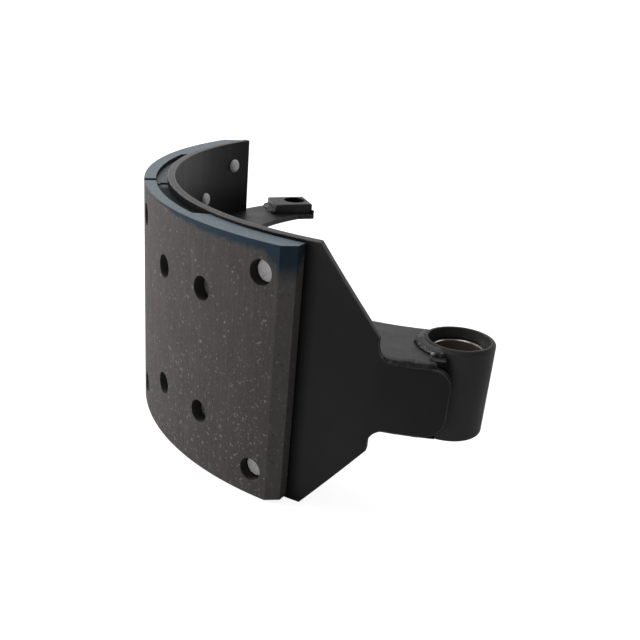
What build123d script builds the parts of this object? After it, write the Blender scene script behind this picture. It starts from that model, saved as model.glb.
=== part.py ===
from build123d import *
from math import cos, hypot, radians, sin
import os

# Drum brake shoe for a heavy trailer or truck axle, in millimetres.
#
# The shoe is drawn in its own plan first: the table's arc centre is at the plan's origin and
# +X runs through the joint between the two linings.  Plan angles turn round that centre, and
# positive angles run towards the pivot end.  Z is the drum's axis, with Z = 0 half way
# between the two webs.  Every finished piece is then carried to the part's frame, whose
# origin is the centre of the pivot bush.

# ------------------------------------------------------------------ driving dimensions

# shoe table: a rolled plate that narrows to a tab at the pivot end
TABLE_OUTER_R = 190.0
TABLE_THICKNESS = 5.0
TABLE_WIDTH = 165.0
TABLE_CAM_END = -50.0
TABLE_TAPER_START = 54.1
TABLE_NOTCH_ANGLE = 65.6
TABLE_TAB_END = 78.2
NOTCH_WIDTH = 70.4
NOTCH_RADIUS = 9.5
TAB_WIDTH = 42.0
TAB_CORNER_RADIUS = 12.0

# friction linings: two blocks of equal arc, ground to the drum's radius
LINING_THICKNESS = 15.0
LINING_WIDTH = 161.0
DRUM_CENTRE = (1.1, -2.4)
LINING_JOINT_GAP = 6.0
LINING_END_ANGLE = 51.3
LINING_REACH = 154.2

# wear step: a shallow groove beside the table in both side faces of each lining
STEP_WIDTH = 8.0
STEP_DEPTH = 3.0
STEP_END_ANGLE = 28.5
STEP_END_LEAN = 44.0

# rivets: four rows of two in each lining
ROW_START = 6.1
ROW_PITCH_PIVOT_SIDE = 13.23
ROW_PITCH_CAM_SIDE = 12.77
ROW_SPREADS_PIVOT_SIDE = (124.0, 82.0, 82.0, 126.0)
ROW_SPREADS_CAM_SIDE = (128.0, 87.0, 87.0, 128.0)
COUNTERBORE_D = 15.2
STOCK_UNDER_HEAD = 5.0
RIVET_SHANK_D = 8.0
RIVET_HOLE_CLEARANCE = 0.1
RIVET_HEAD_D = 14.4
RIVET_HEAD_H = 2.5
RIVET_TAIL_D = 10.5
RIVET_TAIL_H = 2.5

# webs: two equal plates that stand on the table's inner face and run past its cam end
WEB_THICKNESS = 4.0
WEB_GAP = 40.0
WEB_INNER_CENTRE = (-5.6, -8.0)
WEB_INNER_R = 146.3
WEB_PIVOT_END = 77.0
WEB_TIP_RADIUS = 12.0

# pivot tube and its bush
PIVOT_INSET = 26.2
PIVOT_ANGLE = 80.1
TUBE_OUTER_D = 41.3
TUBE_INNER_D = 35.5
TUBE_LENGTH = 56.4
TUBE_RIM_RADIUS = 2.0
BUSH_BORE_D = 28.2
BUSH_LENGTH = 44.0
BUSH_CHAMFER = 0.6

# roller pin bosses at the cam end
PIN_INSET = 17.6
PIN_ANGLE = -62.8
PIN_HOLE_D = 18.0
BOSS_TURN = 8.0
BOSS_LENGTH = 31.8
BOSS_WIDTH = 27.5
BOSS_HEIGHT = 7.8
BOSS_TIP_WALL = 2.4
BOSS_BACK_WALL = 3.2
BOSS_CHAMFER = 0.6
WEB_PAST_BOSS_TIP = 1.0
WEB_PAST_BOSS_FRONT = 3.7

# weld beads
WEB_WELD_LEG = 4.0
TUBE_WELD_LEG = 4.0
TUBE_WELD_BULGE = 1.7
TUBE_WELD_LAP = 0.4
TUBE_WELD_BELOW_RIM = 0.9
TUBE_WELD_INNER_END = -57.0
BOSS_WELD_LEG = 3.5
BEAD_BULGE = 0.6
WELD_END_ANGLE = 2.0

# ------------------------------------------------------------------ sizes worked out from them

TABLE_INNER_R = TABLE_OUTER_R - TABLE_THICKNESS
DRUM_R = TABLE_OUTER_R + LINING_THICKNESS
STEP_OUTER_R = TABLE_OUTER_R + STEP_WIDTH
WEB_INNER_Z = WEB_GAP / 2
WEB_OUTER_Z = WEB_INNER_Z + WEB_THICKNESS
PIVOT_R = TABLE_INNER_R - PIVOT_INSET
PIN_R = TABLE_INNER_R - PIN_INSET
HEAD_SEAT_R = TABLE_OUTER_R + STOCK_UNDER_HEAD
OVERSHOOT = 1.0  # how far a cutting shape runs past what it cuts
SQUARE_CUT_MARGIN = 4.0  # degrees of full width before the taper, cut with it


def polar(radius, angle):
    """Plan point at a radius and an angle round the table's arc centre."""
    return Vector(radius * cos(radians(angle)), radius * sin(radians(angle)), 0)


PIVOT = polar(PIVOT_R, PIVOT_ANGLE)
PIN = polar(PIN_R, PIN_ANGLE)
TO_PART_FRAME = Rot(Z=180) * Pos(-PIVOT.X, -PIVOT.Y, 0)


# ------------------------------------------------------------------ shared shapes


def slab(face, low_z, high_z):
    """A plan face made solid between two heights."""
    return Pos(0, 0, low_z) * extrude(face, high_z - low_z, dir=(0, 0, 1))


def sector(inner_r, outer_r, start, end, low_z, high_z):
    """A curved plate: part of a ring round the table's arc centre."""
    outer = CenterArc((0, 0), outer_r, start, end - start)
    inner = CenterArc((0, 0), inner_r, start, end - start)
    sides = Line(inner @ 0, outer @ 0) + Line(inner @ 1, outer @ 1)
    return slab(make_face(outer + inner + sides), low_z, high_z)


def radial_plane(radius, angle, z):
    """A plane that faces outwards on a radius of the shoe."""
    outwards = polar(1, angle)
    return Plane(origin=polar(radius, angle) + Vector(0, 0, z), x_dir=(0, 0, 1), z_dir=outwards)


def radial_bore(diameter, inner_r, outer_r, angle, z):
    """A drill that runs along a radius of the shoe."""
    drill = Cylinder(diameter / 2, outer_r - inner_r, align=(Align.CENTER, Align.CENTER, Align.MIN))
    return radial_plane(inner_r, angle, z) * drill


def bead_section(corner, leg_a, leg_b):
    """A fillet weld's section: a corner, two legs and a slightly full face between them."""
    corner, leg_a, leg_b = Vector(*corner), Vector(*leg_a), Vector(*leg_b)
    crown = corner + (leg_a + leg_b) * BEAD_BULGE
    face = ThreePointArc(corner + leg_a, crown, corner + leg_b)
    return make_face(face + Line(corner, corner + leg_a) + Line(corner, corner + leg_b))


def bead_round(section, start, end):
    """A weld section, drawn as radius and height, turned round Z between two angles."""
    return Rot(Z=start) * revolve(Plane.XZ * section, Axis.Z, revolution_arc=end - start)


def below(solid):
    """The same piece on the lower side of the shoe."""
    return mirror(solid, about=Plane.XY)


# ------------------------------------------------------------------ rivet places


def rivet_places(side):
    """Angle and height of each rivet of one lining; side is 1 at the pivot end, -1 at the cam end."""
    pitch = ROW_PITCH_PIVOT_SIDE if side > 0 else ROW_PITCH_CAM_SIDE
    spreads = ROW_SPREADS_PIVOT_SIDE if side > 0 else ROW_SPREADS_CAM_SIDE
    return [
        (side * (ROW_START + row * pitch), half * spread / 2)
        for row, spread in enumerate(spreads)
        for half in (1, -1)
    ]


def rivet_holes(side):
    """Drills for the rivet shanks of one lining, through lining and table."""
    diameter = RIVET_SHANK_D + 2 * RIVET_HOLE_CLEARANCE
    low, high = TABLE_INNER_R - OVERSHOOT, HEAD_SEAT_R + OVERSHOOT
    return [radial_bore(diameter, low, high, angle, z) for angle, z in rivet_places(side)]


# ------------------------------------------------------------------ shoe table


def table_outline():
    """The pivot end of the table seen square on: taper, notch and rounded tab."""
    middle = (TABLE_TAPER_START + TABLE_TAB_END) / 2

    def across(angle):
        return TABLE_OUTER_R * sin(radians(angle - middle))

    start, notch, end = across(TABLE_TAPER_START), across(TABLE_NOTCH_ANGLE), across(TABLE_TAB_END)
    half_width, half_notch, half_tab = TABLE_WIDTH / 2, NOTCH_WIDTH / 2, TAB_WIDTH / 2
    upper = [
        (start - half_width, half_width),
        (start, half_width),
        (notch, half_notch),
        (notch, half_tab),
        (end, half_tab),
    ]
    lower = [(along, -z) for along, z in reversed(upper)]
    outline = Polygon(*upper, *lower, align=None)
    notch_corners = outline.vertices().group_by(Axis.X)[-2]
    outline = fillet(sorted(notch_corners, key=lambda corner: abs(corner.Y))[:2], NOTCH_RADIUS)
    outline = fillet(outline.vertices().group_by(Axis.X)[-1], TAB_CORNER_RADIUS)
    square_on = Plane(origin=(0, 0, 0), x_dir=polar(1, middle + 90), z_dir=polar(1, middle))
    return square_on * slab(outline, 0, TABLE_OUTER_R + OVERSHOOT)


def shoe_table():
    """The rolled table plate with its rivet holes."""
    split = TABLE_TAPER_START - SQUARE_CUT_MARGIN
    edges = (-TABLE_WIDTH / 2, TABLE_WIDTH / 2)
    plate = sector(TABLE_INNER_R, TABLE_OUTER_R, TABLE_CAM_END, split, *edges)
    narrowing = sector(TABLE_INNER_R, TABLE_OUTER_R, split, TABLE_TAB_END, *edges)
    return plate + (narrowing & table_outline()) - rivet_holes(1) - rivet_holes(-1)


# ------------------------------------------------------------------ linings and rivets


def one_side(side, points):
    """A plan area drawn on the pivot side, or its mirror image on the cam side."""
    return make_face(Polyline(*[(x, side * y) for x, y in points], close=True))


def lining_plan(side):
    """One lining along the drum's axis: ground outside, radial far end, corner cut straight."""
    near, far = LINING_JOINT_GAP / 2, DRUM_R + LINING_THICKNESS
    foot = polar(TABLE_INNER_R, LINING_END_ANGLE)
    corner = polar(LINING_REACH / sin(radians(LINING_END_ANGLE)), LINING_END_ANGLE)
    bounds = [
        (foot.X, near),
        (far, near),
        (far, LINING_REACH),
        (corner.X, LINING_REACH),
        (foot.X, foot.Y),
    ]
    return Pos(*DRUM_CENTRE) * Circle(DRUM_R) - Circle(TABLE_OUTER_R) & one_side(side, bounds)


def step_plan(side):
    """The wear step's area beside the table, from the joint to its leaning end."""
    foot = polar(TABLE_OUTER_R, STEP_END_ANGLE)
    run = polar(STEP_WIDTH * 3, STEP_END_ANGLE - STEP_END_LEAN)
    low, high = foot - run, foot + run
    bounds = [(low.X, 0), (DRUM_R, 0), (DRUM_R, high.Y), (high.X, high.Y), (low.X, low.Y)]
    return Circle(STEP_OUTER_R) & one_side(side, bounds)


def lining(side):
    """One friction lining: ground outer face, wear steps and counterbored rivet holes."""
    half_width = LINING_WIDTH / 2
    block = slab(lining_plan(side), -half_width, half_width)
    upper_step = slab(step_plan(side), half_width - STEP_DEPTH, half_width + OVERSHOOT)
    counterbores = [
        radial_bore(COUNTERBORE_D, HEAD_SEAT_R, DRUM_R + LINING_THICKNESS, angle, z)
        for angle, z in rivet_places(side)
    ]
    return block - upper_step - below(upper_step) - counterbores - rivet_holes(side)


def rivet():
    """A set rivet along Z, drawn at its true distance from the table's arc centre."""
    shank, head, tail = RIVET_SHANK_D / 2, RIVET_HEAD_D / 2, RIVET_TAIL_D / 2
    tail_seat = (TABLE_INNER_R**2 - tail**2) ** 0.5
    tail_end = tail_seat - RIVET_TAIL_H
    head_top = HEAD_SEAT_R + RIVET_HEAD_H
    edge = RIVET_HEAD_H / 4
    outline = Polyline(
        (tail, tail_seat),
        (shank, tail_seat),
        (shank, HEAD_SEAT_R),
        (head, HEAD_SEAT_R),
        (head, head_top - edge),
        (head - edge, head_top),
        (0, head_top),
        (0, tail_end),
        (shank * 0.6, tail_end),
    )
    crown = ThreePointArc(
        (shank * 0.6, tail_end), (tail * 0.87, tail_seat - RIVET_TAIL_H * 0.62), (tail, tail_seat)
    )
    return revolve(Plane.XZ * make_face(outline + crown), Axis.Z)


def rivets(side):
    """The eight equal rivets of one lining."""
    one = rivet()
    return Compound([radial_plane(0, angle, z) * one for angle, z in rivet_places(side)])


# ------------------------------------------------------------------ roller pin bosses

BOSS_FRAME = Pos(PIN.X, PIN.Y, 0) * Rot(Z=BOSS_TURN)
BOSS_TIP_SIDE = -(PIN_HOLE_D / 2 + BOSS_TIP_WALL)
BOSS_BACK_SIDE = -(PIN_HOLE_D / 2 + BOSS_BACK_WALL)
BOSS_ROOT_SIDE = BOSS_TIP_SIDE + BOSS_LENGTH
BOSS_FRONT_SIDE = BOSS_BACK_SIDE + BOSS_WIDTH


def pin_drill():
    """The roller pin's hole, through both webs and both bosses."""
    reach = WEB_OUTER_Z + BOSS_HEIGHT + OVERSHOOT
    return Pos(PIN.X, PIN.Y, 0) * Cylinder(PIN_HOLE_D / 2, 2 * reach)


def cam_boss():
    """The thickening block on the upper web."""
    low = (Align.MIN, Align.MIN, Align.MIN)
    block = Pos(BOSS_TIP_SIDE, BOSS_BACK_SIDE, WEB_OUTER_Z) * Box(
        BOSS_LENGTH, BOSS_WIDTH, BOSS_HEIGHT, align=low
    )
    block = chamfer(block.edges().group_by(Axis.Z)[-1], BOSS_CHAMFER)
    return BOSS_FRAME * block - pin_drill()


def boss_weld():
    """The bead along the boss's root end and back, turned round the corner between them."""
    leg = BOSS_WELD_LEG
    section = bead_section((0, 0), (leg, 0), (0, leg))
    along_root = extrude(Plane.XZ * section, -BOSS_WIDTH)
    along_back = Rot(Z=-90) * extrude(Plane.XZ * section, BOSS_LENGTH)
    corner = bead_round(section, -90, 0)
    bead = along_root + along_back + corner
    return BOSS_FRAME * Pos(BOSS_ROOT_SIDE, BOSS_BACK_SIDE, WEB_OUTER_Z) * bead


# ------------------------------------------------------------------ webs


def web_tip():
    """The web's end round the roller pin, flush with the table's outer face at the back."""
    tip_x, front = BOSS_TIP_SIDE - WEB_PAST_BOSS_TIP, BOSS_FRONT_SIDE + WEB_PAST_BOSS_FRONT
    back = -PIN_R
    bounds = [(tip_x, front), (BOSS_ROOT_SIDE, front), (BOSS_ROOT_SIDE, back), (tip_x, back)]
    tip = BOSS_FRAME * Polygon(*bounds, align=None) & Circle(TABLE_OUTER_R)
    return fillet(tip.vertices().sort_by(Axis.Y)[0], WEB_TIP_RADIUS)


def web_plate(low_z, high_z):
    """A web's outline between two heights, before the tube's seat and the pin's hole."""
    blank_r = WEB_INNER_R - hypot(*WEB_INNER_CENTRE) - OVERSHOOT
    on_table = sector(blank_r, TABLE_INNER_R, TABLE_CAM_END, WEB_PIVOT_END, low_z, high_z)
    past_table = sector(blank_r, TABLE_OUTER_R, PIN_ANGLE, TABLE_CAM_END, low_z, high_z)
    inside = slab(Pos(*WEB_INNER_CENTRE) * Circle(WEB_INNER_R), low_z - OVERSHOOT, high_z + OVERSHOOT)
    return on_table + past_table - inside + slab(web_tip(), low_z, high_z)


def web():
    """The upper web: an arc that stands on the table, seated on the tube, drilled at its tip."""
    tube_seat = Pos(PIVOT.X, PIVOT.Y, 0) * Cylinder(TUBE_OUTER_D / 2, TUBE_LENGTH)
    return web_plate(WEB_INNER_Z, WEB_OUTER_Z) - tube_seat - pin_drill()


def web_weld():
    """The fillet bead between the upper web's inner side and the table."""
    leg = WEB_WELD_LEG
    section = bead_section((TABLE_INNER_R, WEB_INNER_Z), (-leg, 0), (0, -leg))
    return bead_round(section, TABLE_CAM_END + WELD_END_ANGLE, TABLE_NOTCH_ANGLE - WELD_END_ANGLE)


def tab_weld(table):
    """The bead in the corner between the tab's edge and the upper web's outer edge."""
    half_tab = TAB_WIDTH / 2
    section = bead_section(
        (TABLE_INNER_R, half_tab), (TABLE_THICKNESS, 0), (0, WEB_OUTER_Z - half_tab)
    )
    return bead_round(section, TABLE_NOTCH_ANGLE, WEB_PIVOT_END) - table


# ------------------------------------------------------------------ pivot


def pivot_tube():
    """The tube that the webs are welded to."""
    tube = Cylinder(TUBE_OUTER_D / 2, TUBE_LENGTH)
    tube = fillet(tube.edges().filter_by(GeomType.CIRCLE), TUBE_RIM_RADIUS)
    return Pos(PIVOT.X, PIVOT.Y, 0) * (tube - Cylinder(TUBE_INNER_D / 2, TUBE_LENGTH))


def pivot_bush():
    """The bush pressed into the tube, set back from both rims."""
    bush = Cylinder(TUBE_INNER_D / 2, BUSH_LENGTH) - Cylinder(BUSH_BORE_D / 2, BUSH_LENGTH)
    bore_edges = bush.edges().filter_by(GeomType.CIRCLE).group_by(SortBy.RADIUS)[0]
    bush = chamfer(bore_edges, BUSH_CHAMFER)
    return Pos(PIVOT.X, PIVOT.Y, 0) * bush


def tube_weld(tube):
    """The bead on the upper web's outer side, along its seat on the tube, lapped over the rim."""
    tube_r = TUBE_OUTER_D / 2
    toe = Vector(tube_r + TUBE_WELD_LEG, WEB_OUTER_Z)
    lap = Vector(tube_r - TUBE_WELD_LAP, TUBE_LENGTH / 2 - TUBE_WELD_BELOW_RIM)
    chord = toe - lap
    crown = (toe + lap) * 0.5 + Vector(-chord.Y, chord.X).normalized() * TUBE_WELD_BULGE
    foot = Polyline(lap, (lap.X, WEB_OUTER_Z), toe)
    section = make_face(ThreePointArc(toe, crown, lap) + foot)
    ring = Pos(PIVOT.X, PIVOT.Y, 0) * bead_round(section, TUBE_WELD_INNER_END, PIVOT_ANGLE)
    return (ring & web_plate(WEB_OUTER_Z, TUBE_LENGTH)) - tube


# ------------------------------------------------------------------ all pieces


def all_pieces():
    """Every piece of the shoe by name, in the shoe's plan."""
    table, tube = shoe_table(), pivot_tube()
    upper = {
        "web": web(),
        "cam_boss": cam_boss(),
        "weld_web_table": web_weld(),
        "weld_web_tab": tab_weld(table),
        "weld_web_tube": tube_weld(tube),
        "weld_cam_boss": boss_weld(),
    }
    pieces = {
        "shoe_table": table,
        "pivot_tube": tube,
        "pivot_bush": pivot_bush(),
        "lining_pivot_end": lining(1),
        "lining_cam_end": lining(-1),
        "rivets_pivot_end": rivets(1),
        "rivets_cam_end": rivets(-1),
    }
    for name, piece in upper.items():
        pieces[name + "_upper"] = piece
        pieces[name + "_lower"] = below(piece)
    return pieces


def main():
    os.makedirs("parts", exist_ok=True)
    for name, piece in all_pieces().items():
        export_step(TO_PART_FRAME * piece, f"parts/{name}.step")


main()
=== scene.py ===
"""Looks of a drum brake shoe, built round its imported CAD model.  Lengths are in metres."""

from math import cos, pi, radians, sin, sqrt

import bmesh
import bpy
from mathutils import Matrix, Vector, noise


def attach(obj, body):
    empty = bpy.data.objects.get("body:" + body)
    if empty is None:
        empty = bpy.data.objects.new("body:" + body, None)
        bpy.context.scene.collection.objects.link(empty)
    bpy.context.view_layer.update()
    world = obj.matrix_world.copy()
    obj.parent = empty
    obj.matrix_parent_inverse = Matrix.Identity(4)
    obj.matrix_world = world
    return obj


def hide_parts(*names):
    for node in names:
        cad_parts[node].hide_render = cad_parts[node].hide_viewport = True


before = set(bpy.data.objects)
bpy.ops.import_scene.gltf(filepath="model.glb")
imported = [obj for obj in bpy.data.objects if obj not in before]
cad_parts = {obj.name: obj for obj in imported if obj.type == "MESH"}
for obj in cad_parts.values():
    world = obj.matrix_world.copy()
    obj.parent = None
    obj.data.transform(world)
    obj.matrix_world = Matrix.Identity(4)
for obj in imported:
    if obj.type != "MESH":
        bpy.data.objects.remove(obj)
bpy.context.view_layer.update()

MM = 0.001

# ------------------------------------------------------------------ the shoe, as in the CAD model

# Plan points are measured from the centre of the table's arc.  Angles are in degrees.
TABLE_OUTER_R = 0.190
TABLE_INNER_R = 0.185
TABLE_HALF_WIDTH = 0.0825
WEB_INNER_Z = 0.020
WEB_OUTER_Z = 0.024
PIVOT_R, PIVOT_ANGLE = 0.1588, 80.1
PIN_R, PIN_ANGLE = 0.1674, -62.8
PIN_HOLE_R = 0.0090
TUBE_R = 0.02065
TUBE_BORE_R = 0.01775
BUSH_BORE_R = 0.0141
DRUM_R = 0.205
DRUM_CENTRE = (0.0011, -0.0024)
LINING_HALF_WIDTH = 0.0805
LINING_END_ANGLE = 51.3
BOSS_TURN = 8
BOSS_TIP, BOSS_ROOT, BOSS_BACK, BOSS_FRONT = -0.0114, 0.0204, -0.0122, 0.0153


def polar(radius, angle):
    """Plan point at a radius and an angle round the table's arc centre."""
    return Vector((radius * cos(radians(angle)), radius * sin(radians(angle)), 0))


PIVOT = polar(PIVOT_R, PIVOT_ANGLE)
PIN = polar(PIN_R, PIN_ANGLE)


def to_part(point):
    """A plan point in the part's frame, whose origin is the pivot's centre."""
    return Vector((PIVOT.x - point.x, PIVOT.y - point.y, point.z))


# ------------------------------------------------------------------ node helpers


class Shader:
    """A material's node tree with short calls for the nodes used here."""

    def __init__(self, name):
        self.material = bpy.data.materials.new(name)
        self.material.use_nodes = True
        self.tree = self.material.node_tree
        self.bsdf = self.tree.nodes["Principled BSDF"]
        self.place = self.node("ShaderNodeTexCoord").outputs["Object"]

    def node(self, kind, inputs=None, **settings):
        made = self.tree.nodes.new(kind)
        for key, value in settings.items():
            setattr(made, key, value)
        for key, value in (inputs or {}).items():
            self.feed(made.inputs[key], value)
        return made

    def feed(self, socket, value):
        """Links an input to another socket, or gives it a value."""
        if isinstance(value, bpy.types.NodeSocket):
            self.tree.links.new(value, socket)
        else:
            socket.default_value = value

    def set(self, **inputs):
        """Feeds the Principled shader's inputs."""
        for key, value in inputs.items():
            self.feed(self.bsdf.inputs[key.replace("_", " ")], value)

    def math(self, operation, a, b=0.0):
        return self.node("ShaderNodeMath", {0: a, 1: b}, operation=operation).outputs[0]

    def times(self, a, b):
        return self.math("MULTIPLY", a, b)

    def plus(self, a, b):
        return self.math("ADD", a, b)

    def minus(self, a, b):
        return self.math("SUBTRACT", a, b)

    def larger(self, a, b):
        return self.math("MAXIMUM", a, b)

    def size(self, a):
        return self.math("ABSOLUTE", a)

    def rest(self, share):
        """What a share leaves of 1."""
        return self.minus(1.0, share)

    def stretch(self, scale):
        return self.node("ShaderNodeMapping", {"Vector": self.place, "Scale": scale}).outputs[0]

    def noise(self, scale, detail=3.0, rough=0.5, vector=None):
        inputs = {
            "Vector": vector or self.place,
            "Scale": scale,
            "Detail": detail,
            "Roughness": rough,
        }
        return self.node("ShaderNodeTexNoise", inputs).outputs["Fac"]

    def grain(self, scale, detail, rough):
        """Noise drawn out along the scale's smallest axis."""
        return self.noise(1.0, detail, rough, self.stretch(scale))

    def ramp(self, factor, low, high, low_to=0.0, high_to=1.0):
        inputs = {0: factor, 1: low, 2: high, 3: low_to, 4: high_to}
        return self.node("ShaderNodeMapRange", inputs, clamp=True).outputs[0]

    def patches(self, kind, low, high, low_to=0.0, high_to=1.0):
        """A ramp over noise of one kind: its scale, detail and roughness."""
        return self.ramp(self.noise(*kind), low, high, low_to, high_to)

    def mix(self, factor, a, b):
        made = self.node("ShaderNodeMix", data_type="RGBA")
        self.feed(made.inputs[0], factor)
        for socket, value in ((made.inputs[6], a), (made.inputs[7], b)):
            is_socket = isinstance(value, bpy.types.NodeSocket)
            self.feed(socket, value if is_socket else (*value, 1.0))
        return made.outputs[2]

    def axis(self, name, vector=None):
        return self.node("ShaderNodeSeparateXYZ", {0: vector or self.place}).outputs[name]

    def plan_x(self, start=0.0):
        return self.minus(PIVOT.x - start, self.axis("X"))

    def plan_y(self, start=0.0):
        return self.minus(PIVOT.y - start, self.axis("Y"))

    def radius(self, centre=(0, 0)):
        """Distance in plan from a centre given in the table's plan frame."""
        return self.distance(self.plan_x(centre[0]), self.plan_y(centre[1]))

    def distance(self, x, y):
        return self.math("SQRT", self.plus(self.times(x, x), self.times(y, y)))

    def facing_side(self):
        """1 on faces square to the drum's axis, 0 on all others."""
        normal = self.node("ShaderNodeNewGeometry").outputs["True Normal"]
        return self.ramp(self.size(self.axis("Z", normal)), 0.6, 0.8)

    def soft_edges(self, radius):
        """The shading normal with its edges rounded, and a mask of those edges."""
        rounded = self.node("ShaderNodeBevel", {"Radius": radius}, samples=6).outputs[0]
        true = self.node("ShaderNodeNewGeometry").outputs["True Normal"]
        inputs = {0: rounded, 1: true}
        turn = self.node("ShaderNodeVectorMath", inputs, operation="DOT_PRODUCT")
        return rounded, self.ramp(turn.outputs["Value"], 0.97, 0.8)

    def bump(self, height, strength, distance, normal=None):
        inputs = {"Height": height, "Strength": strength, "Distance": distance}
        made = self.node("ShaderNodeBump", inputs)
        if normal:
            self.feed(made.inputs["Normal"], normal)
        return made.outputs[0]


# ------------------------------------------------------------------ materials

PAINT_BLACK = (0.0085, 0.0085, 0.0092)
PEEL = (1100, 2, 0.5)  # orange peel in the black paint
PEEL_DEPTH = 0.00012

# The linings' pale flecks: cells to a metre, reach within a cell, share of the cells and tone.
FLECKS = ((170, 0.23, 0.08, 0.20), (300, 0.32, 0.12, 0.22), (520, 0.38, 0.16, 0.19))


def black_paint(name, edge_radius=0.0006, lumps=0.0, sheared=0.0, tube_light_and_shade=0.0):
    """Satin black paint on steel: light mottling, orange peel, worn edges with a painted
    highlight.

    Sheared is the share by which the paint is thinner on a plate's edge faces, and
    tube_light_and_shade the share of painted light and shade on a tube, which lightens its sides
    and darkens its end faces.
    """
    s = Shader(name)
    rounded, edges = s.soft_edges(edge_radius)
    side_faces = s.facing_side()
    edge_faces = s.rest(side_faces)
    from_pivot = s.radius((PIVOT.x, PIVOT.y))

    colour = s.mix(s.patches((38, 4, 0.6), 0.35, 0.7), PAINT_BLACK, (0.0135, 0.0130, 0.0128))
    drag = s.ramp(s.grain((260, 260, 9), 3, 0.6), 0.5, 0.75)
    colour = s.mix(s.times(drag, 0.4), colour, (0.022, 0.0205, 0.0195))

    # thin paint on the edge faces, held back near the tube so that those edges stay dark as
    # painted shade
    thin = s.times(s.times(edge_faces, sheared), s.patches((180, 4, 0.7), 0.25, 0.75, 0.5, 1.0))
    thin = s.times(thin, s.ramp(from_pivot, 0.029, 0.036))
    colour = s.mix(thin, colour, (0.095, 0.094, 0.095))

    # painted light and shade on a tube: its sides lighter and its end faces darker than the paint
    tube_lit_and_shaded = s.mix(side_faces, (0.030, 0.030, 0.031), (0.0062, 0.0060, 0.0062))
    colour = s.mix(tube_light_and_shade, colour, tube_lit_and_shaded)

    # painted shade inside the pin hole
    from_pin = s.radius((PIN.x, PIN.y))
    pin_hole_shade = s.ramp(from_pin, PIN_HOLE_R + 0.0005, PIN_HOLE_R + 0.0002)
    colour = s.mix(pin_hole_shade, colour, (0.004, 0.004, 0.004))
    # painted light on the tube's bore wall, in place of light reflected inside it
    tube_bore_light = s.ramp(from_pivot, TUBE_BORE_R + 0.00065, TUBE_BORE_R + 0.00035)
    colour = s.mix(tube_bore_light, colour, (0.046, 0.046, 0.043))

    # worn edges, lightened further as a painted highlight along them
    rub_and_highlight = s.times(edges, s.patches((150, 4, 0.7), 0.35, 0.65))
    colour = s.mix(s.times(rub_and_highlight, 0.55), colour, (0.085, 0.080, 0.078))

    # painted shade in the corner between a plate's edge and the tube
    corner = s.times(edge_faces, s.ramp(from_pivot, 0.031, 0.028))
    corner = s.times(corner, sheared * 1.2)
    colour = s.mix(corner, colour, (0.003, 0.003, 0.003))

    shine = s.ramp(side_faces, 0, 1, 0.4, 0.4 - tube_light_and_shade * 0.25)
    shaded = s.larger(corner, s.times(pin_hole_shade, 0.7))
    height = s.plus(s.times(s.noise(*PEEL), 0.25), s.noise(90, 3, 0.5))
    s.set(
        Base_Color=colour,
        Roughness=s.patches((60, 4, 0.65), 0.3, 0.7, 0.34, 0.48),
        Specular_IOR_Level=s.times(shine, s.rest(shaded)),
        Normal=s.bump(height, 0.35 + lumps, PEEL_DEPTH + lumps * 0.0004, rounded),
    )
    return s.material


def table_paint():
    """The table's paint: as the rest, but thin and brownish grey on its sheared edges."""
    s = Shader("table_paint")
    rounded, edges = s.soft_edges(0.0014)
    radius = s.radius()
    y, z = s.axis("Y"), s.axis("Z")

    colour = s.mix(s.patches((30, 4, 0.6), 0.35, 0.7), PAINT_BLACK, (0.0125, 0.0122, 0.0122))

    # streaks of paint drag across the inner face, made strongest towards the pivot as painted
    # light
    drag = s.grain((330, 330, 7), 4, 0.65)
    inside = s.ramp(radius, TABLE_INNER_R + 0.0012, TABLE_INNER_R + 0.0004)
    lit_side = s.ramp(y, 0.27, 0.16, 0.15, 1.0)
    streak = s.times(s.ramp(drag, 0.45, 0.75), s.times(inside, lit_side))
    colour = s.mix(streak, colour, (0.030, 0.027, 0.0265))

    # painted shade on the outer face in the crevice beside the linings
    outside = s.ramp(radius, TABLE_OUTER_R - 0.0004, TABLE_OUTER_R - 0.0001)
    lining_crevice_shade = s.times(outside, s.ramp(y, 0.002, 0.010))
    colour = s.mix(s.times(lining_crevice_shade, 0.8), colour, (0.004, 0.004, 0.0045))

    # worn on the sheared side edges, and paler towards the cam end
    worn = s.times(s.facing_side(), s.patches((220, 4, 0.7), 0.2, 0.8, 0.50, 1.0))
    worn_colour = s.mix(s.ramp(y, 0.11, 0.19), (0.048, 0.043, 0.044), (0.088, 0.083, 0.083))
    colour = s.mix(worn, colour, worn_colour)

    # worn edges, lightened further as a painted highlight along them
    rubbed_and_highlight = s.times(edges, s.patches((120, 3, 0.6), 0.3, 0.6, 0.5, 1.0))
    colour = s.mix(rubbed_and_highlight, colour, (0.200, 0.192, 0.188))

    inside_shine = s.times(inside, s.ramp(y, 0.17, 0.27, 0.25, -0.05))
    shine = s.plus(inside_shine, s.ramp(z, 0.03, -0.07, 0.25, 0.45))
    height = s.plus(s.times(s.noise(*PEEL), 0.25), s.noise(80, 3, 0.5))
    s.set(
        Base_Color=colour,
        Roughness=s.ramp(drag, 0.3, 0.7, 0.36, 0.50),
        Specular_IOR_Level=s.times(shine, s.ramp(lining_crevice_shade, 0, 1, 1.0, 0.15)),
        Normal=s.bump(height, 0.35, PEEL_DEPTH, rounded),
    )
    return s.material


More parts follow.
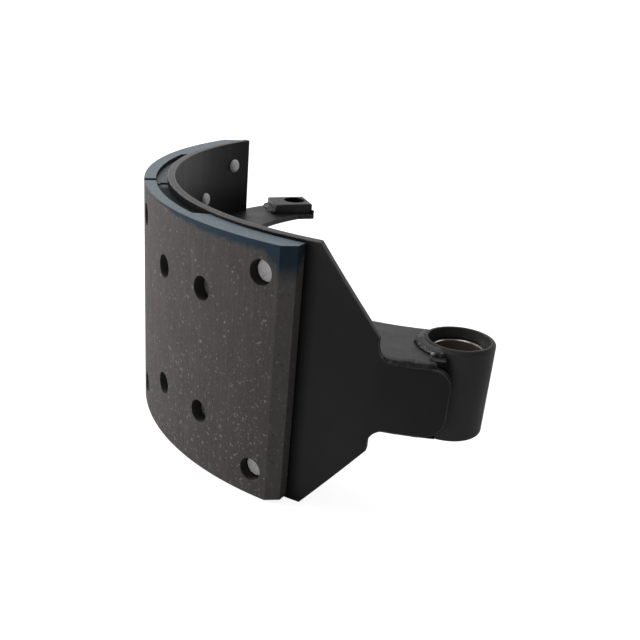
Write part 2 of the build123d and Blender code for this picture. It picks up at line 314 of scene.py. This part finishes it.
def moulded_stock(s):
    """The friction material itself: brown-grey, with dark and pale grain."""
    # sawn and moulded faces are paler than the ground outer face
    chamfer = s.ramp(s.axis("Y"), 0.00232, 0.00226)
    run, rise = cos(radians(LINING_END_ANGLE)), sin(radians(LINING_END_ANGLE))
    past_end = s.minus(s.times(s.plan_y(), run), s.times(s.plan_x(), rise))
    sawn = s.larger(chamfer, s.ramp(past_end, -0.00010, -0.00004))
    cloud = s.patches((60, 4, 0.6), 0.3, 0.7)
    ground_colour = s.mix(cloud, (0.045, 0.041, 0.0395), (0.061, 0.0555, 0.0535))
    sawn_colour = s.mix(cloud, (0.098, 0.091, 0.088), (0.122, 0.114, 0.111))
    colour = s.mix(sawn, ground_colour, sawn_colour)

    fine = s.patches((1300, 3, 0.75), 0.35, 0.7)
    colour = s.mix(s.times(fine, 0.6), colour, (0.092, 0.085, 0.081))
    streak = s.ramp(s.grain((620, 620, 30), 3, 0.65), 0.50, 0.72)
    colour = s.mix(s.times(streak, 0.40), colour, (0.104, 0.096, 0.092))
    dark = s.patches((560, 3, 0.6), 0.60, 0.72)
    return s.mix(s.times(dark, 0.65), colour, (0.026, 0.0245, 0.024))


def flecks_and_fibres(s, colour, z):
    """Pale flecks and short fibres over a colour, more of them low down."""
    low_down = s.ramp(s.plus(z, s.patches((14, 2, 0.5), 0.3, 0.7, -0.03, 0.03)), 0.06, -0.07)
    for scale, size, share, tone in FLECKS:
        inputs = {"Vector": s.place, "Scale": scale * 2.6, "Detail": 2.0}
        wobble = s.node("ShaderNodeTexNoise", inputs)
        shifted = s.node("ShaderNodeMix", {0: 0.8 / scale}, data_type="VECTOR")
        s.feed(shifted.inputs[4], s.place)
        s.feed(shifted.inputs[5], wobble.outputs["Color"])
        inputs = {"Vector": shifted.outputs[1], "Scale": float(scale)}
        cells = s.node("ShaderNodeTexVoronoi", inputs)
        limit = s.ramp(low_down, 0, 1, 1 - share * 0.45, 1 - share * 1.5)
        kept = s.math("GREATER_THAN", s.axis("X", cells.outputs["Color"]), limit)
        patch = s.ramp(cells.outputs["Distance"], size, size * 0.5)
        tint = s.ramp(s.axis("Y", cells.outputs["Color"]), 0, 1, 0.25, 0.9)
        mask = s.times(s.times(kept, patch), tint)
        colour = s.mix(mask, colour, (tone, tone * 0.975, tone * 0.95))

    # fibres are thin contour lines of one noise, broken up by another
    line = s.size(s.minus(s.noise(230, 1, 0.4), 0.5))
    broken = s.ramp(s.noise(300, 2, 0.5, s.stretch((1, 1, 0.8))), 0.60, 0.64)
    fibre = s.times(s.ramp(line, 0.040, 0.014), broken)
    return s.mix(s.times(fibre, s.ramp(low_down, 0, 1, 0.35, 0.80)), colour, (0.19, 0.18, 0.175))


def overspray(s, colour, z):
    """Dark blue overspray that fades out down the outer face, furthest near the pivot end."""
    y = s.axis("Y")
    ragged = s.patches((120, 4, 0.6), 0.25, 0.75, -0.0016, 0.0016)
    reach = s.times(s.ramp(y, 0.115, 0.035), s.ramp(y, 0.009, 0.001, 0.0062, 0.0240))
    below = s.minus(LINING_HALF_WIDTH, s.plus(z, ragged))
    over = s.rest(s.math("DIVIDE", below, s.larger(reach, 0.0006)))
    over = s.times(s.ramp(over, 0.0, 0.5), s.ramp(y, 0.120, 0.085, 0.0, 0.92))
    return s.mix(over, colour, (0.009, 0.028, 0.046))


def lining_material():
    """Moulded friction material; its side faces are painted blue-grey."""
    s = Shader("friction_lining")
    y, z = s.axis("Y"), s.axis("Z")
    depth = s.minus(DRUM_R, s.radius(DRUM_CENTRE))
    colour = flecks_and_fibres(s, moulded_stock(s), z)

    # painted shade inside the rivet holes
    rivet_hole_shade = s.times(s.ramp(depth, 0.0004, 0.0010), s.ramp(y, 0.0083, 0.0087))
    colour = s.mix(s.times(rivet_hole_shade, 0.72), colour, (0.022, 0.0215, 0.021))
    colour = overspray(s, colour, z)

    # paint on the side faces, darker on the floor of the wear step, with painted shade on part of
    # that floor
    from_middle = s.size(z)
    sides = s.times(s.facing_side(), s.ramp(from_middle, 0.0745, 0.0755))
    step = s.ramp(from_middle, LINING_HALF_WIDTH - 0.0012, LINING_HALF_WIDTH - 0.0022)
    painted = s.mix(step, (0.092, 0.122, 0.143), (0.056, 0.074, 0.082))
    pale = s.patches((200, 5, 0.7), 0.38, 0.72)
    painted = s.mix(s.times(pale, 0.5), painted, (0.150, 0.186, 0.208))
    pitted = s.patches((640, 3, 0.6), 0.58, 0.70)
    painted = s.mix(s.times(pitted, 0.6), painted, (0.050, 0.068, 0.080))
    # painted shade on the wear step's floor, from near the joint towards the pivot
    shaded = s.times(s.times(step, sides), s.ramp(y, 0.154, 0.143, 0.0, 0.90))
    painted = s.mix(shaded, painted, (0.003, 0.006, 0.008))
    rim = s.ramp(depth, 0.0010, 0.0004)
    painted = s.mix(s.times(rim, 0.55), painted, (0.040, 0.062, 0.080))
    colour = s.mix(sides, colour, painted)

    height = s.plus(s.noise(1400, 3, 0.7), s.times(s.noise(330, 3, 0.6), 0.9))
    s.set(
        Base_Color=colour,
        Roughness=s.ramp(sides, 0, 1, 0.85, 0.50),
        Specular_IOR_Level=s.times(s.ramp(sides, 0, 1, 0.22, 0.4), s.rest(shaded)),
        Normal=s.bump(height, 0.5, 0.00025),
    )
    return s.material


def rivet_steel():
    """Dull plated steel with a speckled surface; heads away from the linings' end rows are
    darker.
    """
    s = Shader("rivet_steel")
    y = s.axis("Y")
    speckle = s.noise(1700, 3, 0.7)
    stain = s.noise(300, 4, 0.6)
    colour = s.mix(s.ramp(speckle, 0.35, 0.65), (0.64, 0.63, 0.63), (1.0, 0.98, 0.98))
    colour = s.mix(s.times(s.ramp(stain, 0.55, 0.75), 0.5), colour, (0.20, 0.195, 0.19))
    # heads away from the end rows of the linings are darker
    heads = s.ramp(s.radius(), TABLE_OUTER_R, TABLE_OUTER_R + 0.0005)
    end_rows = s.larger(s.ramp(y, 0.024, 0.020), s.ramp(y, 0.284, 0.288))
    darker_heads = s.times(heads, s.ramp(end_rows, 0, 1, 0.9, 0.0))
    colour = s.mix(darker_heads, colour, (0.060, 0.058, 0.057))
    s.set(
        Base_Color=colour,
        Metallic=s.ramp(darker_heads, 0, 1, 0.04, 0.0),
        Roughness=s.ramp(stain, 0.3, 0.7, 0.45, 0.65),
        Normal=s.bump(speckle, 0.5, 0.00018),
    )
    return s.material


def bush_metal():
    """A dark bronze-brown bore with a turned edge, bright at two painted glints."""
    s = Shader("bush_metal")
    x, y = s.axis("X"), s.axis("Y")
    radius = s.distance(x, y)
    bore = s.mix(s.patches((90, 4, 0.6), 0.3, 0.7), (0.23, 0.195, 0.165), (0.36, 0.31, 0.265))
    past_bore = s.ramp(radius, BUSH_BORE_R + 0.00002, BUSH_BORE_R + 0.00010)
    past_edge = s.ramp(radius, BUSH_BORE_R + 0.00045, BUSH_BORE_R + 0.0006)
    # painted glints on the turned edge, at two places across the bore
    across = s.size(x)
    glint = s.times(s.ramp(across, 0.003, 0.006), s.ramp(across, 0.011, 0.008))
    turned_edge_glints = s.mix(glint, (0.24, 0.22, 0.20), (0.98, 0.95, 0.92))
    colour = s.mix(past_bore, bore, turned_edge_glints)
    colour = s.mix(past_edge, colour, (0.050, 0.047, 0.045))
    s.set(
        Base_Color=colour,
        Metallic=0.9,
        Roughness=s.ramp(past_bore, 0, 1, 0.42, 0.26),
        Normal=s.bump(s.grain((25, 25, 2600), 2, 0.5), 0.15, 0.00005),
    )
    return s.material


def bare_spatter():
    """Weld spatter that shed most of its paint."""
    s = Shader("bare_spatter")
    scorch = s.patches((700, 3, 0.6), 0.4, 0.65)
    s.set(
        Base_Color=s.mix(scorch, (0.30, 0.29, 0.28), (0.07, 0.067, 0.065)),
        Metallic=0.5,
        Roughness=s.ramp(scorch, 0, 1, 0.28, 0.5),
        Normal=s.bump(s.noise(900, 2, 0.5), 0.3, 0.0001),
    )
    return s.material


def flake_paint():
    """Lining paint that ran and set in a lump."""
    s = Shader("flake_paint")
    mottle = s.patches((900, 3, 0.6), 0.35, 0.65)
    s.set(
        Base_Color=s.mix(mottle, (0.030, 0.046, 0.054), (0.105, 0.140, 0.155)),
        Roughness=0.5,
        Normal=s.bump(mottle, 0.4, 0.0002),
    )
    return s.material


def dress(nodes, material):
    """Gives one material to CAD nodes."""
    for name in nodes:
        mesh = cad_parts[name].data
        mesh.materials.clear()
        mesh.materials.append(material)


weld_paint = black_paint("weld_paint", edge_radius=0.0002, lumps=0.25)
dress(["shoe_table"], table_paint())
dress(["web_upper", "web_lower"], black_paint("web_paint", sheared=0.7))
dress(["pivot_tube"], black_paint("tube_paint", tube_light_and_shade=0.9))
dress(["cam_boss_upper", "cam_boss_lower"], black_paint("boss_paint", sheared=0.45))
dress(["lining_pivot_end", "lining_cam_end"], lining_material())
dress(["rivets_pivot_end", "rivets_cam_end"], rivet_steel())
dress(["pivot_bush"], bush_metal())

# ------------------------------------------------------------------ weld beads and drops

STATION_STEP = 0.0004  # between the sections of a bead
SURFACES_APART = 0.00002  # a corner's radius, so that no two stations share a place

# Sections of the beads as (outwards, up) steps in millimetres from their corner.
TAB_SECTION = [
    (5.0, 0.0), (4.95, 1.0), (4.5, 2.0), (3.6, 2.85),
    (2.4, 3.35), (1.1, 3.5), (0.0, 3.35), (-1.0, 2.95),
]
TAB_SECTION_BELOW = [
    (3.9, 0.0), (3.2, 0.6), (2.5, 1.05), (1.8, 1.55),
    (1.1, 2.1), (0.5, 2.75), (-0.5, 3.1),
]
TUBE_SECTION = [
    (4.0, -0.1), (3.75, 0.9), (3.0, 1.9), (2.1, 2.7),
    (1.15, 3.3), (0.3, 3.7), (-0.5, 3.85), (-1.15, 3.8),
]
TAB_BEAD_Z = 0.0209

# Where the beads along arcs start and end, round the table's centre or the pivot's.
TABLE_BEAD_ARC = (-48, 63.6)
TAB_BEAD_ARC = (65.7, 75.6)
TUBE_BEAD_ARC = (-57, 53)

# The lumps of a bead, coarse to fine: how often in a millimetre, and how high.
SWELLS = ((0.16, 0.8), (0.45, 0.60), (1.2, 0.14))
BEAD_END_SHARE = 0.4  # of the full section, at a bead's ends
BEAD_END_RUN = 4.0  # millimetres to the full section


def fillet(leg_out, leg_up, fullness, points=9):
    """A swelling fillet's section between two legs at a right angle."""
    turns = [i / (points - 1) * pi / 2 for i in range(points)]
    return [(leg_out * cos(t) ** fullness, leg_up * sin(t) ** fullness) for t in turns]


def bead(name, node, stations, section, wander, seed):
    """A hand-laid bead that stands for a CAD weld node.

    A station is a corner point with its outward and upward directions.  Wander is the share by
    which the section swells and shrinks along the run.
    """
    mesh = bmesh.new()
    rings = []
    lengths = [0.0]
    for (start, _, _), (end, _, _) in zip(stations, stations[1:]):
        lengths.append(lengths[-1] + (end - start).length / MM)
    for (corner, out, up), travelled in zip(stations, lengths):
        reach = min(travelled, lengths[-1] - travelled)
        grown = BEAD_END_SHARE + (1 - BEAD_END_SHARE) * sqrt(reach / BEAD_END_RUN)
        taper = min(1.0, grown)
        ring = [mesh.verts.new(to_part(corner))]
        for step_out, step_up in section:
            offset = out * (step_out * MM) + up * (step_up * MM)
            spot = (corner + offset) / MM
            swell = 0.0
            for axis, (scale, height) in enumerate(SWELLS):
                shift = Vector((0, 0, 0))
                shift[axis] = seed
                swell += noise.noise(spot * scale + shift) * height
            grown_offset = offset * taper * (1.0 + wander * swell)
            ring.append(mesh.verts.new(to_part(corner + grown_offset)))
        rings.append(ring)
    for first, second in zip(rings, rings[1:]):
        for i in range(len(first)):
            j = (i + 1) % len(first)
            mesh.faces.new((first[i], first[j], second[j], second[i]))
    mesh.faces.new(rings[0])
    mesh.faces.new(list(reversed(rings[-1])))
    bmesh.ops.recalc_face_normals(mesh, faces=mesh.faces)
    return finish_piece(name, mesh, node)


def finish_piece(name, mesh, node=None, material=weld_paint):
    """Turns a bmesh into a smooth-shaded piece that rides on the shoe."""
    data = bpy.data.meshes.new(name)
    mesh.to_mesh(data)
    mesh.free()
    data.materials.append(material)
    for face in data.polygons:
        face.use_smooth = True
    piece = bpy.data.objects.new(name, data)
    bpy.context.scene.collection.objects.link(piece)
    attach(piece, "root")
    if node:
        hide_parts(node)
    return piece


def arc_stations(radius, start, end, z, up, centre=Vector((0, 0, 0))):
    """Stations along an arc round a centre."""
    count = int(radians(end - start) * radius / STATION_STEP)
    made = []
    for i in range(count + 1):
        out = polar(1, start + (end - start) * i / count)
        made.append((centre + out * radius + Vector((0, 0, z)), out, up))
    return made


def line_stations(start, end, out, up):
    """Stations along a straight line."""
    count = int((end - start).length / STATION_STEP)
    return [(start.lerp(end, i / count), out, up) for i in range(count + 1)]


def boss_stations(up, corner_steps=12):
    """Down the boss's root end, round its back corner and along its back."""
    turn = radians(BOSS_TURN)
    along, across = Vector((cos(turn), sin(turn), 0)), Vector((-sin(turn), cos(turn), 0))

    def at(x, y):
        return PIN + along * x + across * y + up * WEB_OUTER_Z

    corner = at(BOSS_ROOT, BOSS_BACK)
    round_corner = []
    for i in range(1, corner_steps):
        angle = radians(90 * i / corner_steps)
        out = along * cos(angle) - across * sin(angle)
        round_corner.append((corner + out * SURFACES_APART, out, up))
    return (
        line_stations(at(BOSS_ROOT, BOSS_FRONT), corner, along, up)
        + round_corner
        + line_stations(corner, at(BOSS_TIP, BOSS_BACK), -across, up)
    )


def blob(name, centre, size, seed, material):
    """An uneven ball with its half sizes in millimetres, for a drop of spatter or of paint."""
    mesh = bmesh.new()
    bmesh.ops.create_icosphere(mesh, subdivisions=3, radius=1.0)
    for vertex in mesh.verts:
        swell = 1.0 + 0.3 * noise.noise(vertex.co * 1.4 + Vector((seed, seed, 0)))
        local = Vector((vertex.co.x * size[0], vertex.co.y * size[1], vertex.co.z * size[2]))
        vertex.co = to_part(centre + local * MM * swell)
    bmesh.ops.recalc_face_normals(mesh, faces=mesh.faces)
    return finish_piece(name, mesh, material=material)


def by_tube(radius, angle, z):
    """A place beside the pivot tube."""
    return PIVOT + polar(radius, angle) + Vector((0, 0, z))


for side, label in ((1, "upper"), (-1, "lower")):
    up = Vector((0, 0, side))
    bead(
        f"bead_web_table_{label}", f"weld_web_table_{label}",
        arc_stations(TABLE_INNER_R, *TABLE_BEAD_ARC, WEB_INNER_Z * side, up),
        fillet(-4.0, -4.0, 1.3), wander=0.30, seed=3.1 * side,
    )
    bead(
        f"bead_web_tab_{label}", f"weld_web_tab_{label}",
        arc_stations(TABLE_INNER_R, *TAB_BEAD_ARC, TAB_BEAD_Z * side, up),
        TAB_SECTION if side > 0 else TAB_SECTION_BELOW, wander=0.11, seed=7.7 * side,
    )
    bead(
        f"bead_web_tube_{label}", f"weld_web_tube_{label}",
        arc_stations(TUBE_R, *TUBE_BEAD_ARC, WEB_OUTER_Z * side, up, centre=PIVOT),
        TUBE_SECTION, wander=0.21, seed=4.1 * side,
    )
    bead(
        f"bead_cam_boss_{label}", f"weld_cam_boss_{label}", boss_stations(up),
        fillet(3.7, 3.7, 1.2), wander=0.34, seed=1.9 * side,
    )

# Spatter round the near end of the upper tube weld, a drop on the upper boss's front corner, and
# a place where the tube weld ran out over the web.
SEED_STEP = 3.7
spatter_steel = bare_spatter()
DROPS = (
    (by_tube(0.0277, 41.0, 0.0262), (1.35, 1.35, 1.25), spatter_steel),
    (by_tube(0.0222, 47.0, 0.0240), (1.0, 1.0, 2.6), spatter_steel),
    (by_tube(0.0249, 54.5, 0.0226), (1.5, 1.3, 1.3), weld_paint),
    (by_tube(0.0242, 53.0, 0.0212), (1.5, 1.6, 1.3), spatter_steel),
    (by_tube(0.0257, 57.0, 0.0216), (0.9, 0.9, 1.2), weld_paint),
    (Vector((0.0626, -0.1335, 0.0256)), (1.4, 1.5, 1.8), weld_paint),
    (by_tube(0.0231, -13.0, 0.0244), (2.1, 2.6, 1.9), weld_paint),
)
for index, (place, size, material) in enumerate(DROPS):
    blob(f"spatter_{index + 1}", place, size, seed=index * SEED_STEP, material=material)

# A lump of paint on the wear step's floor beside the joint between the linings.
LUMP_PLACE = Vector((0.1968, 0.0036, 0.0778))
blob("paint_lump", LUMP_PLACE, (2.1, 1.5, 1.2), seed=2.3, material=flake_paint())

# ------------------------------------------------------------------ camera, floor and light

CAMERA_PLACE = (-0.17689, -0.45205, 0.21491)
CAMERA_TURN = (62.6613, -2.0296, -4.6530)
CAMERA_LENS = 49.456
CAMERA_SHIFT = (0.14657, 0.14808)
FLOOR_Z = -TABLE_HALF_WIDTH
FLOOR_HALF_SIZE = 12.0
SHOE_MIDDLE = (-0.05, 0.15, 0)

# The world is brightest in one direction.  Its strength rises from low to high between two
# cosines of the angle from that direction.
BRIGHT_SIDE = (-0.15, 0.96, 0.22)
DARK_COSINE, BRIGHT_COSINE = -0.60, 0.6
DARK_STRENGTH, BRIGHT_STRENGTH = 0.09, 0.76

camera = bpy.data.objects.new("camera", bpy.data.cameras.new("camera"))
camera.data.sensor_width = 36
camera.data.lens = CAMERA_LENS
camera.data.shift_x, camera.data.shift_y = CAMERA_SHIFT
camera.data.clip_start = 0.01
camera.rotation_euler = [radians(angle) for angle in CAMERA_TURN]
camera.location = CAMERA_PLACE
bpy.context.scene.collection.objects.link(camera)
bpy.context.scene.camera = camera


def plain_floor():
    """A pale floor that reads as the white background but keeps the shoe's shadow."""
    mesh = bmesh.new()
    bmesh.ops.create_grid(mesh, x_segments=4, y_segments=4, size=FLOOR_HALF_SIZE)
    data = bpy.data.meshes.new("floor")
    mesh.to_mesh(data)
    mesh.free()
    floor = bpy.data.objects.new("floor", data)
    floor.location = (SHOE_MIDDLE[0], SHOE_MIDDLE[1], FLOOR_Z)
    bpy.context.scene.collection.objects.link(floor)
    s = Shader("floor")
    s.set(Base_Color=(0.40, 0.40, 0.40, 1), Roughness=0.9, Specular_IOR_Level=0.0)
    path = s.node("ShaderNodeLightPath").outputs
    # white to the camera, and a glow in reflections from behind and from the left
    behind = s.ramp(s.axis("Y"), 0.1, 0.5, 0.0, 0.4)
    left = s.ramp(s.axis("X"), -0.30, -0.60, 0.0, 0.45)
    seen = s.times(path["Is Camera Ray"], 0.88)
    reflected = s.times(path["Is Glossy Ray"], s.larger(behind, left))
    inputs = {"Color": (1, 1, 1, 1), "Strength": s.larger(seen, reflected)}
    glow = s.node("ShaderNodeEmission", inputs)
    both = s.node("ShaderNodeAddShader", {0: s.bsdf.outputs[0], 1: glow.outputs[0]})
    s.feed(s.tree.nodes["Material Output"].inputs["Surface"], both.outputs[0])
    data.materials.append(s.material)


def world_light():
    """White light from all round, brightest from behind the shoe."""
    world = bpy.data.worlds.new("studio")
    bpy.context.scene.world = world
    world.use_nodes = True
    tree = world.node_tree
    place = tree.nodes.new("ShaderNodeTexCoord")
    towards = tree.nodes.new("ShaderNodeVectorMath")
    towards.operation = "DOT_PRODUCT"
    spread = tree.nodes.new("ShaderNodeMapRange")
    path = tree.nodes.new("ShaderNodeLightPath")
    strength = tree.nodes.new("ShaderNodeMix")
    tree.links.new(place.outputs["Generated"], towards.inputs[0])
    towards.inputs[1].default_value = BRIGHT_SIDE
    tree.links.new(towards.outputs["Value"], spread.inputs[0])
    limits = (DARK_COSINE, BRIGHT_COSINE, DARK_STRENGTH, BRIGHT_STRENGTH)
    for index, value in enumerate(limits, start=1):
        spread.inputs[index].default_value = value
    tree.links.new(path.outputs["Is Camera Ray"], strength.inputs[0])
    tree.links.new(spread.outputs[0], strength.inputs[2])
    strength.inputs[3].default_value = 1.0
    background = tree.nodes["Background"]
    background.inputs["Color"].default_value = (1, 1, 1, 1)
    tree.links.new(strength.outputs[0], background.inputs["Strength"])


def softbox(name, place, target, size, power):
    """A square area lamp that faces a point."""
    lamp = bpy.data.lights.new(name, "AREA")
    lamp.shape, lamp.size, lamp.energy = "SQUARE", size, power
    made = bpy.data.objects.new(name, lamp)
    made.location = place
    made.rotation_euler = (Vector(target) - Vector(place)).to_track_quat("-Z", "Y").to_euler()
    bpy.context.scene.collection.objects.link(made)


plain_floor()
world_light()
softbox("key", (-1.55, 0.72, 0.62), SHOE_MIDDLE, size=0.9, power=30)
softbox("fill", (-1.0, -1.0, 0.30), (-0.05, 0.1, 0), size=0.6, power=2.6)
softbox("top", (-0.2, 0.6, 1.6), SHOE_MIDDLE, size=1.4, power=8)

bpy.context.scene.view_settings.view_transform = "Standard"
